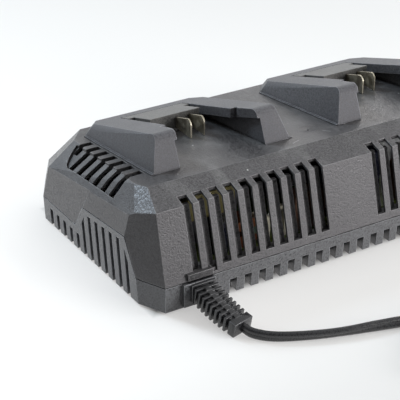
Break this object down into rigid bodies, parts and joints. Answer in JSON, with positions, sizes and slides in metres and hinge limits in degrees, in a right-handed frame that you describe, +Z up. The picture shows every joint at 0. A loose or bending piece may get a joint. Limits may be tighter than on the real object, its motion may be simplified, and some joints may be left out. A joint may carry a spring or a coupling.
{
  "type": "power tool battery charger",
  "caption": "Low charger case with slanted rails and contact blades for two slide-in battery packs, vent slots, cooling fan and flat mains lead with plug.",
  "frame": {"origin": "centre of the case's footprint, at the floor it stands on", "axes": "+X along the case's long side, +Y to the back, away from the side with the lead, +Z up"},
  "size_m": [0.243, 0.2736, 0.0683],
  "materials": {
    "case_plastic": "fine textured",
    "lower_plastic": "fine textured",
    "guide_plastic": "fine textured",
    "block_plastic": "fine textured",
    "blade_nickel": "nickel plated, bright",
    "lamp_lens": "frosted",
    "board_laminate": "solder mask",
    "screw_steel": "zinc plated",
    "ferrite": "matt",
    "winding_tape": "adhesive tape",
    "choke_core": "painted",
    "copper_wire": "enamelled",
    "capacitor_sleeve": "shrink sleeve",
    "film_capacitor": "moulded",
    "sink_aluminium": "extruded",
    "chip_plastic": "moulded",
    "relay_plastic": "moulded",
    "holder_plastic": "moulded",
    "fuse_glass": "clear",
    "fan_plastic": "moulded",
    "foot_rubber": "matt",
    "clamp_plastic": "moulded",
    "wire_insulation": "smooth",
    "boot_rubber": "satin",
    "cord_jacket": "satin",
    "tie_plastic": "woven strap",
    "plug_plastic": "satin",
    "pin_brass": "nickel plated"
  },
  "bodies": {
    "case": {"upper_shell": "case_plastic", "lower_shell": "lower_plastic", "bay_guide_left": "guide_plastic", "bay_guide_right": "guide_plastic", "contact_block_left": "block_plastic", "contact_block_right": "block_plastic", "contact_blades_left": "blade_nickel", "contact_blades_right": "blade_nickel", "status_lamps": "lamp_lens", "main_board": "board_laminate", "board_screws": "screw_steel", "transformer_core": "ferrite", "transformer_winding": "winding_tape", "filter_choke": "choke_core", "choke_winding": "copper_wire", "bulk_capacitors": "capacitor_sleeve", "film_capacitors": "film_capacitor", "heat_sinks": "sink_aluminium", "power_switches": "chip_plastic", "bay_relays": "relay_plastic", "fuse_holder": "holder_plastic", "fuse": "fuse_glass", "fan_frame": "fan_plastic", "case_screws": "screw_steel", "feet": "foot_rubber", "cord_clamp": "clamp_plastic", "clamp_screws": "screw_steel", "mains_leads": "wire_insulation", "strain_relief": "boot_rubber", "mains_cord": "cord_jacket", "cord_coil": "cord_jacket", "cord_tie": "tie_plastic", "plug_body": "plug_plastic", "plug_pins": "pin_brass"},
    "fan_rotor_body": {"fan_rotor": "fan_plastic"}
  },
  "joints": [
    {"name": "fan_spin", "type": "hinge", "parent": "case", "child": "fan_rotor_body", "pos_m": [-0.1032, -0.021, 0.0205], "axis": [1, 0, 0], "continuous": true}
  ]
}
